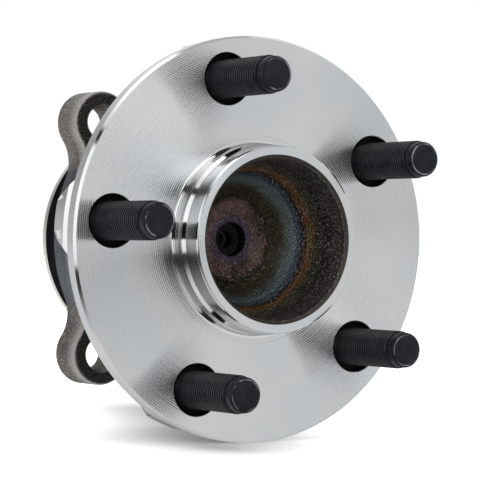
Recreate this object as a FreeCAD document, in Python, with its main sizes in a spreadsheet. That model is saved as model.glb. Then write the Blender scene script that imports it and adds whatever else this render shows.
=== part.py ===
import FreeCAD, Part

import math
import os
from enum import IntEnum
from types import SimpleNamespace

import Sketcher

# Wheel hub bearing: a turned and forged hub flange with five pressed-in wheel studs runs on two rows
# of angular-contact balls inside an outer ring with four threaded ears that bolts to the knuckle.
#
# Frame: the axis of rotation is Y. The wheel is towards -Y and the knuckle towards +Y. Z is up.
# The origin is the centre of the machined face that the brake disc and wheel sit on.
# Every turned profile is drawn as (radius from the axis, distance behind that face).

# Driving dimensions in millimetres, degrees and counts
SIZES = {
    # hub flange
    "stud_to_rim": 15.0,
    "rim_thickness": 6.2,
    "rim_chamfer": 0.75,
    "rim_chamfer_length": 1.2,
    "back_chamfer": 0.6,
    "neck_radius": 40.0,
    "neck_fillet": 6.0,
    "neck_chamfer": 1.0,
    "seal_run_fillet": 3.5,
    # lobes behind the flange that carry the studs
    "lobe_radius": 14.9,
    "lobe_flare": 4.1,
    "lobe_back": 17.5,
    "lobe_turned_step": 0.9,
    "lobe_relief_depth": 1.5,
    "lobe_relief_width": 3.0,
    # pilots that centre the brake disc and the wheel
    "wheel_pilot_radius": 34.2,
    "pilot_step": 0.9,
    "pilot_step_height": 1.4,
    "brake_pilot_height": 6.4,
    "pilot_height": 15.7,
    "pilot_edge": 0.8,
    "pilot_land": 2.5,
    "pilot_base_fillet": 2.0,
    "relief_width": 1.2,
    "relief_depth": 0.4,
    # hollow in the middle of the pilot
    "cup_lip_chamfer": 1.3,
    "cup_wall_draft": 1.4,
    "cup_wall_depth": 12.7,
    "cup_floor_radius": 14.4,
    "cup_floor_depth": 33.3,
    "cup_bowl_radius": 26.0,
    "centre_bore_radius": 6.5,
    "centre_bore_depth": 4.5,
    "centre_drill_radius": 3.2,
    "centre_drill_depth": 9.0,
    "centre_drill_point": 1.9,
    # wheel studs
    "stud_count": 5,
    "stud_circle_radius": 60.0,
    "first_stud_angle": 102.0,
    "stud_thread_radius": 6.96,
    "stud_reach": 33.8,
    "stud_lead_step": 0.51,
    "stud_lead_length": 4.0,
    "stud_tip_fillet": 1.1,
    "stud_shank_step": 0.54,
    "stud_head_radius": 11.0,
    "stud_head_thickness": 3.4,
    "stud_head_chamfer": 0.7,
    "counterbore_step": 2.05,
    "counterbore_depth": 3.5,
    # rolling elements
    "ball_radius": 6.35,
    "ball_count": 14,
    "pitch_radius": 31.5,
    "contact_angle": 40.0,
    "outboard_row": 38.0,
    "row_spacing": 26.0,
    "groove_conformity": 1.04,
    "ball_clearance": 0.02,
    "cage_ball_clearance": 0.15,
    "cage_half_wall": 1.8,
    "cage_back_wall": 1.1,
    "cage_finger_reach": 2.0,
    # race surfaces: heights of the lands over the bottom of the grooves
    "race_shoulder_height": 3.75,
    "race_land_height": 0.5,
    # spindle and the separate inner ring that its rolled rim holds
    "spindle_step_setback": 10.0,
    "nose_radius": 20.0,
    "inner_ring_overhang": 16.4,
    "inner_ring_chamfer": 0.9,
    "rolled_rim_width": 5.4,
    "rolled_rim_height": 4.4,
    "nose_bore_radius": 12.5,
    "nose_bore_depth": 18.0,
    "nose_bore_dish": 3.75,
    # outer ring
    "ring_to_neck": 1.5,
    "ring_wall": 7.8,
    "ring_root_fillet": 3.0,
    "ring_edge": 0.6,
    "ring_overhang": 4.6,
    "seal_seat_step": 0.85,
    "spigot_wall": 5.3,
    "spigot_chamfer": 1.0,
    # plate and ears of the outer ring
    "plate_setback": 16.0,
    "plate_thickness": 15.5,
    "plate_overhang": 10.0,
    "plate_ring_wall": 2.0,
    "plate_back_chamfer": 0.6,
    "ear_count": 4,
    "first_ear_angle": 45.0,
    "ear_circle_radius": 61.2,
    "ear_radius": 11.5,
    "ear_fillet": 15.0,
    "ear_edge_fillet": 1.4,
    "ear_hole_radius": 6.2,
    "ear_hole_chamfer": 1.0,
    # seals and encoder
    "sheet": 0.9,
    "seal_case_depth": 6.2,
    "seal_case_standoff": 2.9,
    "front_seal_gap": 2.2,
    "rear_seal_gap": 1.0,
    "seal_rubber_wall": 1.4,
    "lip_clearance": 0.05,
    "lip_land": 0.8,
    "lip_waist": 0.7,
    "lip_heel": 0.85,
    "lip_back_slope": 0.3,
    "lip_front_slope": 0.55,
    "side_lip_reach": 3.2,
    "side_lip_wall": 1.7,
    "slinger_clearance": 0.9,
    "slinger_length": 6.4,
    "encoder_width": 5.8,
    "encoder_thickness": 1.2,
    "encoder_gap": 0.8,
    # end cap
    "cap_sheet": 1.0,
    "cap_rim_setback": 0.3,
    "cap_rim_height": 2.4,
    "cap_dome_clearance": 2.1,
    "cap_dome_gap": 2.2,
    "cap_dome_corner": 1.6,
}
SHEET = "Sizes"
ROUNDING = 1e-6


class Point(IntEnum):
    """The points of a sketch's line or arc."""

    START = 1
    END = 2
    CENTRE = 3


class SketchAxis(IntEnum):
    """The two axes that every sketch has."""

    HORIZONTAL = -1
    VERTICAL = -2


class Size:
    """A number together with the sheet formula that gives it, so that a sketch can be bound to it."""

    def __init__(self, value, formula=None):
        self.value = float(value)
        self.formula = formula or repr(float(value))

    def joined(self, other, sign, value):
        return Size(value, f"({self.formula} {sign} {other.formula})")

    def __add__(self, other):
        other = as_size(other)
        return self.joined(other, "+", self.value + other.value)

    def __sub__(self, other):
        other = as_size(other)
        return self.joined(other, "-", self.value - other.value)

    def __mul__(self, other):
        other = as_size(other)
        return self.joined(other, "*", self.value * other.value)

    def __truediv__(self, other):
        other = as_size(other)
        return self.joined(other, "/", self.value / other.value)

    def __radd__(self, other):
        return as_size(other) + self

    def __rsub__(self, other):
        return as_size(other) - self

    def __rmul__(self, other):
        return as_size(other) * self

    def __rtruediv__(self, other):
        return as_size(other) / self

    def __neg__(self):
        return Size(-self.value, f"(0 - {self.formula})")


def as_size(number):
    return number if isinstance(number, Size) else Size(number)


def root(size):
    return Size(math.sqrt(size.value), f"sqrt({size.formula})")


def cosine(degrees):
    return Size(math.cos(math.radians(degrees.value)), f"cos({degrees.formula} * 1 deg)")


def sine(degrees):
    return Size(math.sin(math.radians(degrees.value)), f"sin({degrees.formula} * 1 deg)")


def arc_cosine(ratio):
    """The angle in degrees whose cosine is the ratio."""
    return Size(math.degrees(math.acos(ratio.value)), f"(acos({ratio.formula}) / 1 deg)")


def write_sheet(doc):
    """Puts each driving dimension in a named cell and returns them all as Size values."""
    sheet = doc.addObject("Spreadsheet::Sheet", SHEET)
    for row, (name, value) in enumerate(SIZES.items(), start=1):
        sheet.set(f"A{row}", name)
        sheet.set(f"B{row}", str(value))
        sheet.setAlias(f"B{row}", name)
    doc.recompute()
    return SimpleNamespace(**{name: Size(value, f"{SHEET}.{name}") for name, value in SIZES.items()})


def add_fitted_sizes(d):
    """Adds the sizes that follow from the driving ones: what fits in, seats on or clears another piece."""
    d.flange_radius = d.stud_circle_radius + d.stud_to_rim
    d.lobe_foot_radius = d.lobe_radius + d.lobe_flare
    d.stud_shank_radius = d.stud_thread_radius + d.stud_shank_step
    d.stud_lead_radius = d.stud_thread_radius - d.stud_lead_step
    d.counterbore_radius = d.stud_shank_radius + d.counterbore_step
    d.brake_pilot_radius = d.wheel_pilot_radius + d.pilot_step
    d.cup_mouth_radius = d.wheel_pilot_radius - d.pilot_edge - d.pilot_land
    d.cup_lip_radius = d.cup_mouth_radius - d.cup_lip_chamfer
    d.cup_wall_radius = d.cup_lip_radius - d.cup_wall_draft

    d.inboard_row = d.outboard_row + d.row_spacing
    d.race_shoulder_radius = d.pitch_radius - d.ball_radius + d.race_shoulder_height
    d.race_land_radius = d.pitch_radius - d.ball_radius + d.race_land_height
    d.middle_land_radius = d.pitch_radius + d.ball_radius - d.race_shoulder_height
    d.outer_land_radius = d.pitch_radius + d.ball_radius - d.race_land_height
    d.spindle_step = d.outboard_row + d.spindle_step_setback
    d.inner_ring_end = d.inboard_row + d.inner_ring_overhang
    d.rolled_rim_radius = d.nose_radius + d.rolled_rim_width
    d.nose_end = d.inner_ring_end + d.rolled_rim_height

    cage_reach = d.ball_radius + d.cage_ball_clearance + d.cage_back_wall
    d.front_seat = d.outboard_row - cage_reach - d.front_seal_gap
    d.rear_seat = d.inboard_row + cage_reach + d.rear_seal_gap
    d.ring_front = d.front_seat - d.seal_case_depth
    d.ring_end = d.inner_ring_end + d.ring_overhang
    d.neck_back = d.ring_front - d.ring_to_neck
    d.seal_bore_radius = d.outer_land_radius + d.seal_seat_step
    d.ring_radius = d.seal_bore_radius + d.ring_wall
    d.spigot_radius = d.seal_bore_radius + d.spigot_wall
    d.plate_front = d.ring_front + d.plate_setback
    d.plate_back = d.plate_front + d.plate_thickness
    d.plate_radius = d.ring_radius + d.plate_overhang

    d.seal_case_inner_radius = d.race_shoulder_radius + d.seal_case_standoff
    d.side_lip_radius = d.seal_case_inner_radius + d.side_lip_reach
    d.slinger_radius = d.seal_bore_radius - d.sheet - d.slinger_clearance
    d.slinger_start = d.inner_ring_end - d.slinger_length
    d.encoder_inner_radius = d.slinger_radius - d.encoder_width
    d.encoder_back = d.inner_ring_end + d.encoder_thickness
    d.cap_floor = d.encoder_back + d.encoder_gap
    d.cap_rim_radius = d.spigot_radius - d.cap_rim_setback
    d.cap_dome_radius = d.rolled_rim_radius + d.cap_dome_clearance + d.cap_sheet
    d.cap_dome_top = d.nose_end + d.cap_dome_gap + d.cap_sheet


# Sketches and features


class Bend:
    """An arc that arrives at a corner of a profile: its radius, and whether it turns left or right."""

    def __init__(self, radius, left):
        self.radius = as_size(radius)
        self.left = left


def arc_between(start, end, bend):
    """The short arc from start to end, and which of its ends is the profile's start."""
    a = FreeCAD.Vector(start[0].value, start[1].value, 0)
    b = FreeCAD.Vector(end[0].value, end[1].value, 0)
    chord = b - a
    across = FreeCAD.Vector(-chord.y, chord.x, 0).normalize()
    rise = math.sqrt(max(bend.radius.value**2 - (chord.Length / 2) ** 2, 0))
    centre = (a + b) * 0.5 + across * (rise if bend.left else -rise)
    first, last = (a, b) if bend.left else (b, a)
    from_angle = math.atan2(first.y - centre.y, first.x - centre.x)
    to_angle = math.atan2(last.y - centre.y, last.x - centre.x)
    if to_angle < from_angle:
        to_angle += 2 * math.pi
    circle = Part.Circle(centre, FreeCAD.Vector(0, 0, 1), bend.radius.value)
    return Part.ArcOfCircle(circle, from_angle, to_angle)


def new_sketch(body, name, plane, height=None, across=None):
    """An empty sketch on one of the body's own origin planes, lifted off it by a height and moved across."""
    sketch = body.newObject("Sketcher::SketchObject", name)
    support = next(o for o in body.Origin.OriginFeatures if o.Role == plane)
    sketch.AttachmentSupport = [(support, "")]
    sketch.MapMode = "FlatFace"
    if height is not None:
        sketch.setExpression("AttachmentOffset.Base.z", height.formula)
    if across is not None:
        sketch.setExpression("AttachmentOffset.Base.x", across.formula)
    return sketch


def bind(sketch, kind, where, size):
    """Adds a dimension to the sketch and ties it to the sheet."""
    index = sketch.addConstraint(Sketcher.Constraint(kind, *where, size.value))
    sketch.setExpression(f"Constraints[{index}]", size.formula)


def place(sketch, geometry, point, corner):
    """Holds one point of the sketch at a corner measured from the origin."""
    for kind, axis, size in (
        ("DistanceX", SketchAxis.VERTICAL, corner[0]),
        ("DistanceY", SketchAxis.HORIZONTAL, corner[1]),
    ):
        size = as_size(size)
        if abs(size.value) < ROUNDING:
            sketch.addConstraint(Sketcher.Constraint("PointOnObject", geometry, point, axis))
        else:
            bind(sketch, kind, (SketchAxis.HORIZONTAL, Point.START, geometry, point), size)


def draw_profile(sketch, path):
    """A closed profile. The path lists its corners (x, y), with a Bend before each that an arc leads to."""
    corners = []
    bends = []
    waiting = None
    for step in path:
        if isinstance(step, Bend):
            waiting = step
            continue
        corners.append((as_size(step[0]), as_size(step[1])))
        bends.append(waiting)
        waiting = None
    if waiting:
        bends[0] = waiting
    ends = []
    shapes = []
    for number, corner in enumerate(corners):
        before = corners[number - 1]
        bend = bends[number]
        if bend is None:
            a = FreeCAD.Vector(before[0].value, before[1].value, 0)
            b = FreeCAD.Vector(corner[0].value, corner[1].value, 0)
            shapes.append(Part.LineSegment(a, b))
        else:
            shapes.append(arc_between(before, corner, bend))
        forward = bend is None or bend.left
        ends.append((Point.START, Point.END) if forward else (Point.END, Point.START))
    sketch.addGeometry(shapes, False)
    count = len(corners)
    for number in range(count):
        following = (number + 1) % count
        joint = (number, ends[number][1], following, ends[following][0])
        sketch.addConstraint(Sketcher.Constraint("Coincident", *joint))
    for number, corner in enumerate(corners):
        place(sketch, number, ends[number][1], corner)
        if bends[number] is not None:
            bind(sketch, "Radius", (number,), bends[number].radius)


def draw_circle(sketch, corner, radius):
    corner = (as_size(corner[0]), as_size(corner[1]))
    centre = FreeCAD.Vector(corner[0].value, corner[1].value, 0)
    number = sketch.addGeometry(Part.Circle(centre, FreeCAD.Vector(0, 0, 1), radius.value), False)
    place(sketch, number, Point.CENTRE, corner)
    bind(sketch, "Radius", (number,), radius)


def draw_half_disc(sketch, corner, radius):
    """A half disc whose flat side, the sketch's first line, runs through the corner along Y."""
    x, y, r = corner[0].value, corner[1].value, radius.value
    ends = [FreeCAD.Vector(x, y - r, 0), FreeCAD.Vector(x, y + r, 0)]
    circle = Part.Circle(FreeCAD.Vector(x, y, 0), FreeCAD.Vector(0, 0, 1), r)
    arc = Part.ArcOfCircle(circle, -math.pi / 2, math.pi / 2)
    sketch.addGeometry([Part.LineSegment(*ends), arc], False)
    for point in (Point.START, Point.END):
        sketch.addConstraint(Sketcher.Constraint("Coincident", 0, point, 1, point))
    sketch.addConstraint(Sketcher.Constraint("Vertical", 0))
    sketch.addConstraint(Sketcher.Constraint("PointOnObject", 1, Point.CENTRE, 0))
    place(sketch, 1, Point.CENTRE, corner)
    bind(sketch, "Radius", (1,), radius)


def axis_of(body, role):
    return (next(o for o in body.Origin.OriginFeatures if o.Role == role), [""])


def turned(body, name, path, kind="PartDesign::Revolution", about=(None, None)):
    """A full turn of a profile: added by a Revolution, cut away by a Groove.

    The axis is Y itself, or runs along Y through the point about, given as (x, z)."""
    sketch = new_sketch(body, name + "_profile", "XY_Plane", height=about[1], across=about[0])
    draw_profile(sketch, path)
    feature = body.newObject(kind, name)
    feature.Profile = sketch
    feature.ReferenceAxis = (sketch, ["V_Axis"])
    feature.Angle = 360
    body.Document.recompute()
    return feature


def patterned(body, name, features, count):
    """Repeats the features evenly round the Y axis."""
    pattern = body.newObject("PartDesign::PolarPattern", name)
    pattern.Originals = features
    pattern.Axis = axis_of(body, "Y_Axis")
    pattern.Angle = 360
    pattern.setExpression("Occurrences", count.formula)
    body.Tip = pattern
    body.Document.recompute()
    return pattern


def rounded(body, name, kind, base, radius, picked):
    """A Fillet or Chamfer on the edges of the base feature that the test picks."""
    edges = [f"Edge{i}" for i, edge in enumerate(base.Shape.Edges, start=1) if picked(edge)]
    feature = body.newObject(kind, name)
    feature.Base = (base, edges)
    feature.setExpression("Radius" if kind.endswith("Fillet") else "Size", radius.formula)
    body.Document.recompute()
    return feature


def new_body(doc, name):
    body = doc.addObject("PartDesign::Body", name)
    body.Label = name
    return body


# Ball grooves: each is an arc a little larger than the ball, centred off the ball's centre so that
# the two meet along the contact line. The two rows lean away from each other.


def groove_radius(d):
    return d.ball_radius * d.groove_conformity


def groove_centre(d, row, inboard, inner):
    """Centre (radius, distance) of a ball groove in the inner or the outer race."""
    offset = groove_radius(d) - d.ball_radius - d.ball_clearance
    radial = cosine(d.contact_angle) * offset
    along = sine(d.contact_angle) * offset
    side = (1 if inner else -1) * (-1 if inboard else 1)
    return (d.pitch_radius + radial * (1 if inner else -1), row + along * side)


def groove_edge(d, centre, land, side):
    """Where a groove meets a cylindrical land, on the side (-1 outboard, 1 inboard) of its centre."""
    rise = land - centre[0]
    return centre[1] + root(groove_radius(d) * groove_radius(d) - rise * rise) * side


# Hub


def hub_profile(d):
    """Section of the hub: hollow, pilots, flange, neck, outboard inner race and rolled spindle nose."""
    centre = groove_centre(d, d.outboard_row, inboard=False, inner=True)
    shoulder_edge = groove_edge(d, centre, d.race_shoulder_radius, -1)
    land_edge = groove_edge(d, centre, d.race_land_radius, 1)
    face = -d.pilot_height
    step = -d.brake_pilot_height - d.pilot_step_height
    floor = face + d.cup_floor_depth
    bore_floor = floor + d.centre_bore_depth
    drill_floor = floor + d.centre_drill_depth
    base_end = d.brake_pilot_radius + d.pilot_base_fillet
    relief_end = base_end + d.relief_width
    return [
        (0, drill_floor + d.centre_drill_point),
        (d.centre_drill_radius, drill_floor),
        (d.centre_drill_radius, bore_floor),
        (d.centre_bore_radius, bore_floor),
        (d.centre_bore_radius, floor),
        (d.cup_floor_radius, floor),
        Bend(d.cup_bowl_radius, left=False),
        (d.cup_wall_radius, face + d.cup_wall_depth),
        (d.cup_lip_radius, face + d.cup_lip_chamfer),
        (d.cup_mouth_radius, face),
        (d.wheel_pilot_radius - d.pilot_edge, face),
        Bend(d.pilot_edge, left=True),
        (d.wheel_pilot_radius, face + d.pilot_edge),
        (d.wheel_pilot_radius, step),
        (d.brake_pilot_radius, -d.brake_pilot_height),
        (d.brake_pilot_radius, -d.pilot_base_fillet),
        Bend(d.pilot_base_fillet, left=False),
        (base_end, 0),
        (base_end, d.relief_depth),
        (relief_end, d.relief_depth),
        (relief_end, 0),
        (d.flange_radius - d.rim_chamfer, 0),
        (d.flange_radius, d.rim_chamfer_length),
        (d.flange_radius, d.rim_thickness - d.back_chamfer),
        (d.flange_radius - d.back_chamfer, d.rim_thickness),
        (d.neck_radius + d.neck_fillet, d.rim_thickness),
        Bend(d.neck_fillet, left=False),
        (d.neck_radius, d.rim_thickness + d.neck_fillet),
        (d.neck_radius, d.neck_back - d.neck_chamfer),
        (d.neck_radius - d.neck_chamfer, d.neck_back),
        (d.race_shoulder_radius + d.seal_run_fillet, d.neck_back),
        Bend(d.seal_run_fillet, left=False),
        (d.race_shoulder_radius, d.neck_back + d.seal_run_fillet),
        (d.race_shoulder_radius, shoulder_edge),
        Bend(groove_radius(d), left=False),
        (d.race_land_radius, land_edge),
        (d.race_land_radius, d.spindle_step),
        (d.nose_radius, d.spindle_step),
        (d.nose_radius, d.inner_ring_end),
        (d.rolled_rim_radius, d.inner_ring_end),
        Bend(d.rolled_rim_height, left=True),
        (d.rolled_rim_radius - d.rolled_rim_height, d.nose_end),
        (d.nose_bore_radius, d.nose_end),
        (d.nose_bore_radius, d.nose_end - d.nose_bore_depth),
        (0, d.nose_end - d.nose_bore_depth - d.nose_bore_dish),
    ]


def make_hub(doc, d):
    body = new_body(doc, "hub_flange")
    turned(body, "hub_turning", hub_profile(d))
    stud_axis = (
        d.stud_circle_radius * cosine(d.first_stud_angle),
        d.stud_circle_radius * sine(d.first_stud_angle),
    )
    lobe_section = [
        (0, d.rim_thickness),
        (d.lobe_foot_radius, d.rim_thickness),
        (d.lobe_radius, d.lobe_back),
        (0, d.lobe_back),
    ]
    lobe = turned(body, "stud_lobe", lobe_section, about=stud_axis)
    patterned(body, "stud_lobes", [lobe], d.stud_count)

    turned_radius = d.flange_radius - d.lobe_turned_step
    relief_radius = turned_radius - d.lobe_relief_depth
    relief_end = d.rim_thickness + d.lobe_relief_width
    outside = d.stud_circle_radius + d.lobe_foot_radius + d.back_chamfer
    trim = [
        (relief_radius, d.rim_thickness),
        (outside, d.rim_thickness),
        (outside, d.lobe_back + d.back_chamfer),
        (turned_radius, d.lobe_back + d.back_chamfer),
        (turned_radius, relief_end + d.lobe_relief_depth),
        (relief_radius, relief_end),
    ]
    turned(body, "lobe_turning", trim, "PartDesign::Groove")

    hole_section = [
        (0, 0),
        (d.counterbore_radius, 0),
        (d.counterbore_radius, d.counterbore_depth),
        (d.stud_shank_radius, d.counterbore_depth),
        (d.stud_shank_radius, d.lobe_back),
        (0, d.lobe_back),
    ]
    hole = turned(body, "stud_hole", hole_section, "PartDesign::Groove", stud_axis)
    patterned(body, "stud_holes", [hole], d.stud_count)
    return body


def make_stud(doc, d, number):
    """One serrated wheel stud, pressed in from behind until its head meets the lobe."""
    body = new_body(doc, f"wheel_stud_{number + 1}")
    tip = -d.stud_reach
    lead_end = tip + d.stud_lead_length
    thread_chamfer = d.stud_thread_radius - d.stud_lead_radius
    head_back = d.lobe_back + d.stud_head_thickness
    path = [
        (0, tip),
        (d.stud_lead_radius - d.stud_tip_fillet, tip),
        Bend(d.stud_tip_fillet, left=True),
        (d.stud_lead_radius, tip + d.stud_tip_fillet),
        (d.stud_lead_radius, lead_end),
        (d.stud_thread_radius, lead_end + thread_chamfer),
        (d.stud_thread_radius, d.counterbore_depth),
        (d.stud_shank_radius, d.counterbore_depth),
        (d.stud_shank_radius, d.lobe_back),
        (d.stud_head_radius, d.lobe_back),
        (d.stud_head_radius, head_back - d.stud_head_chamfer),
        (d.stud_head_radius - d.stud_head_chamfer, head_back),
        (0, head_back),
    ]
    turned(body, f"stud_turning_{number + 1}", path)
    angle = d.first_stud_angle - number * 360 / d.stud_count
    body.setExpression("Placement.Base.x", (d.stud_circle_radius * cosine(angle)).formula)
    body.setExpression("Placement.Base.z", (d.stud_circle_radius * sine(angle)).formula)
    return body


def make_inner_ring(doc, d):
    """The separate inboard inner race, held on the spindle by its rolled rim."""
    centre = groove_centre(d, d.inboard_row, inboard=True, inner=True)
    edge = d.inner_ring_chamfer
    body = new_body(doc, "inner_ring")
    path = [
        (d.nose_radius, d.spindle_step + edge),
        (d.nose_radius + edge, d.spindle_step),
        (d.race_land_radius, d.spindle_step),
        (d.race_land_radius, groove_edge(d, centre, d.race_land_radius, -1)),
        Bend(groove_radius(d), left=False),
        (d.race_shoulder_radius, groove_edge(d, centre, d.race_shoulder_radius, 1)),
        (d.race_shoulder_radius, d.inner_ring_end),
        (d.nose_radius, d.inner_ring_end),
    ]
    turned(body, "inner_ring_turning", path)
    return body


# Outer ring


def outer_ring_profile(d):
    """Section of the outer ring: seal bores, two outer races, seat for the knuckle."""
    front = groove_centre(d, d.outboard_row, inboard=False, inner=False)
    rear = groove_centre(d, d.inboard_row, inboard=True, inner=False)
    root_radius = d.ring_radius + d.ring_root_fillet
    return [
        (d.seal_bore_radius, d.ring_front + d.ring_edge),
        (d.seal_bore_radius + d.ring_edge, d.ring_front),
        (d.ring_radius - d.ring_edge, d.ring_front),
        (d.ring_radius, d.ring_front + d.ring_edge),
        (d.ring_radius, d.plate_front - d.ring_root_fillet),
        Bend(d.ring_root_fillet, left=False),
        (root_radius, d.plate_front),
        (root_radius, d.plate_back),
        (d.spigot_radius, d.plate_back),
        (d.spigot_radius, d.ring_end - d.spigot_chamfer),
        (d.spigot_radius - d.spigot_chamfer, d.ring_end),
        (d.seal_bore_radius, d.ring_end),
        (d.seal_bore_radius, d.rear_seat),
        (d.outer_land_radius, d.rear_seat),
        (d.outer_land_radius, groove_edge(d, rear, d.outer_land_radius, 1)),
        Bend(groove_radius(d), left=False),
        (d.middle_land_radius, groove_edge(d, rear, d.middle_land_radius, -1)),
        (d.middle_land_radius, groove_edge(d, front, d.middle_land_radius, 1)),
        Bend(groove_radius(d), left=False),
        (d.outer_land_radius, groove_edge(d, front, d.outer_land_radius, -1)),
        (d.outer_land_radius, d.front_seat),
        (d.seal_bore_radius, d.front_seat),
    ]


def plate_outline(d):
    """The plate seen along the axis: a disc with ears, each blended into it by two fillets."""
    reach = d.plate_radius + d.ear_fillet
    span = d.ear_radius + d.ear_fillet
    swing = arc_cosine(
        (d.ear_circle_radius * d.ear_circle_radius + reach * reach - span * span)
        / (d.ear_circle_radius * reach * 2)
    )
    path = []
    for number in range(SIZES["ear_count"]):
        middle = d.first_ear_angle + number * 360 / d.ear_count
        ear = (d.ear_circle_radius * cosine(middle), d.ear_circle_radius * sine(middle))
        touches = []
        for side in (-1, 1):
            angle = middle + swing * side
            centre = (reach * cosine(angle), reach * sine(angle))
            on_disc = (d.plate_radius * cosine(angle), d.plate_radius * sine(angle))
            share = d.ear_radius / span
            on_ear = tuple(e + (c - e) * share for e, c in zip(ear, centre))
            touches.append((on_disc, on_ear))
        (disc_in, ear_in), (disc_out, ear_out) = touches
        tip = tuple(e * (1 + d.ear_radius / d.ear_circle_radius) for e in ear)
        path += [
            Bend(d.plate_radius, left=True),
            disc_in,
            Bend(d.ear_fillet, left=False),
            ear_in,
            Bend(d.ear_radius, left=True),
            tip,
            Bend(d.ear_radius, left=True),
            ear_out,
            Bend(d.ear_fillet, left=False),
            disc_out,
        ]
    return path


def make_outer_ring(doc, d):
    body = new_body(doc, "outer_ring")
    turned(body, "ring_turning", outer_ring_profile(d))
    plate_sketch = new_sketch(body, "plate_outline", "XZ_Plane", -d.plate_back)
    draw_profile(plate_sketch, plate_outline(d))
    draw_circle(plate_sketch, (0, 0), d.spigot_radius - d.plate_ring_wall)
    plate = body.newObject("PartDesign::Pad", "knuckle_plate")
    plate.Profile = plate_sketch
    plate.setExpression("Length", (d.plate_back - d.plate_front).formula)
    doc.recompute()

    def on_outline(edge, depth):
        box = edge.BoundBox
        flat = box.YLength < ROUNDING and abs(box.YMin - depth.value) < ROUNDING
        middle = edge.valueAt((edge.FirstParameter + edge.LastParameter) / 2)
        return flat and math.hypot(middle.x, middle.z) > d.plate_radius.value - ROUNDING

    front = rounded(
        body,
        "ear_rounding",
        "PartDesign::Fillet",
        plate,
        d.ear_edge_fillet,
        lambda edge: on_outline(edge, d.plate_front),
    )
    rounded(
        body,
        "plate_back_edge",
        "PartDesign::Chamfer",
        front,
        d.plate_back_chamfer,
        lambda edge: on_outline(edge, d.plate_back),
    )

    hole_axis = (
        d.ear_circle_radius * cosine(d.first_ear_angle),
        d.ear_circle_radius * sine(d.first_ear_angle),
    )
    hole_section = [
        (0, d.plate_front),
        (d.ear_hole_radius + d.ear_hole_chamfer, d.plate_front),
        (d.ear_hole_radius, d.plate_front + d.ear_hole_chamfer),
        (d.ear_hole_radius, d.plate_back - d.ear_hole_chamfer),
        (d.ear_hole_radius + d.ear_hole_chamfer, d.plate_back),
        (0, d.plate_back),
    ]
    hole = turned(body, "ear_hole", hole_section, "PartDesign::Groove", hole_axis)
    patterned(body, "ear_holes", [hole], d.ear_count)
    return body


# Rolling elements


def make_ball(doc, d, name, row, number):
    ball = doc.addObject("Part::Sphere", name)
    ball.Label = name
    ball.setExpression("Radius", d.ball_radius.formula)
    angle = (Size(number) + 0.5) * 360 / d.ball_count
    ball.setExpression("Placement.Base.x", (d.pitch_radius * cosine(angle)).formula)
    ball.setExpression("Placement.Base.y", row.formula)
    ball.setExpression("Placement.Base.z", (d.pitch_radius * sine(angle)).formula)
    return ball


def make_cage(doc, d, name, row, side):
    """A moulded snap cage: a ring behind the balls with fingers between them. Side is -1 or 1."""
    body = new_body(doc, name)
    pocket_radius = d.ball_radius + d.cage_ball_clearance
    inner_radius = d.pitch_radius - d.cage_half_wall
    outer_radius = d.pitch_radius + d.cage_half_wall
    back = row + (pocket_radius + d.cage_back_wall) * side
    front = row - d.cage_finger_reach * side
    low, high = (back, front) if side < 0 else (front, back)
    section = [
        (inner_radius, low),
        (outer_radius, low),
        (outer_radius, high),
        (inner_radius, high),
    ]
    turned(body, name + "_ring", section)
    pocket_sketch = new_sketch(body, name + "_pocket_circle", "XY_Plane")
    draw_half_disc(pocket_sketch, (d.pitch_radius, row), pocket_radius)
    pocket = body.newObject("PartDesign::Groove", name + "_pocket")
    pocket.Profile = pocket_sketch
    pocket.ReferenceAxis = (pocket_sketch, ["Edge1"])
    pocket.Angle = 360
    doc.recompute()
    patterned(body, name + "_pockets", [pocket], d.ball_count)
    half_step = Size(180) / d.ball_count
    turn = FreeCAD.Rotation(FreeCAD.Vector(0, -1, 0), half_step.value)
    body.Placement = FreeCAD.Placement(FreeCAD.Vector(), turn)
    body.setExpression("Placement.Rotation.Angle", f"{half_step.formula} * 1 deg")
    return body


# Seals, encoder and end cap


def make_ring_of(doc, name, path):
    body = new_body(doc, name)
    turned(body, name + "_section", path)
    return body


def make_outboard_seal(doc, d):
    seat_start = d.ring_front + d.ring_edge
    flange_front = d.front_seat - d.sheet
    inside = d.seal_bore_radius - d.sheet
    make_ring_of(
        doc,
        "outboard_seal_case",
        [
            (inside, seat_start),
            (d.seal_bore_radius, seat_start),
            (d.seal_bore_radius, d.front_seat),
            (d.seal_case_inner_radius, d.front_seat),
            (d.seal_case_inner_radius, flange_front),
            (inside, flange_front),
        ],
    )
    lip = lip_section(d, d.front_seat, -1, d.race_shoulder_radius, d.neck_back)
    make_ring_of(doc, "outboard_seal_lip", lip)


def lip_section(d, back, side, shaft, wall):
    """Rubber of a seal, bonded on the case's flange: one lip on the shaft and one on the facing wall.

    Back is the flange's outer face and side points from it towards the lips."""
    front = back + d.sheet * side
    heel = d.seal_case_inner_radius
    shaft_tip = shaft + d.lip_clearance
    wall_tip = wall - d.lip_clearance * side
    neck = front + d.seal_rubber_wall * side
    middle = (neck + wall_tip) / 2
    heel_face = shaft_tip + d.lip_heel
    return [
        (heel, back),
        (heel, front),
        (d.side_lip_radius, front),
        (heel + d.side_lip_wall, middle),
        (d.side_lip_radius, wall_tip),
        (d.side_lip_radius - d.lip_land, wall_tip),
        (heel, middle),
        (shaft_tip + d.lip_waist, neck + d.seal_rubber_wall * side),
        (shaft_tip, neck + (d.seal_rubber_wall + d.lip_front_slope) * side),
        (shaft_tip, neck + (d.seal_rubber_wall - d.lip_back_slope) * side),
        (heel_face, front),
        (heel_face, back),
    ]


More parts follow.
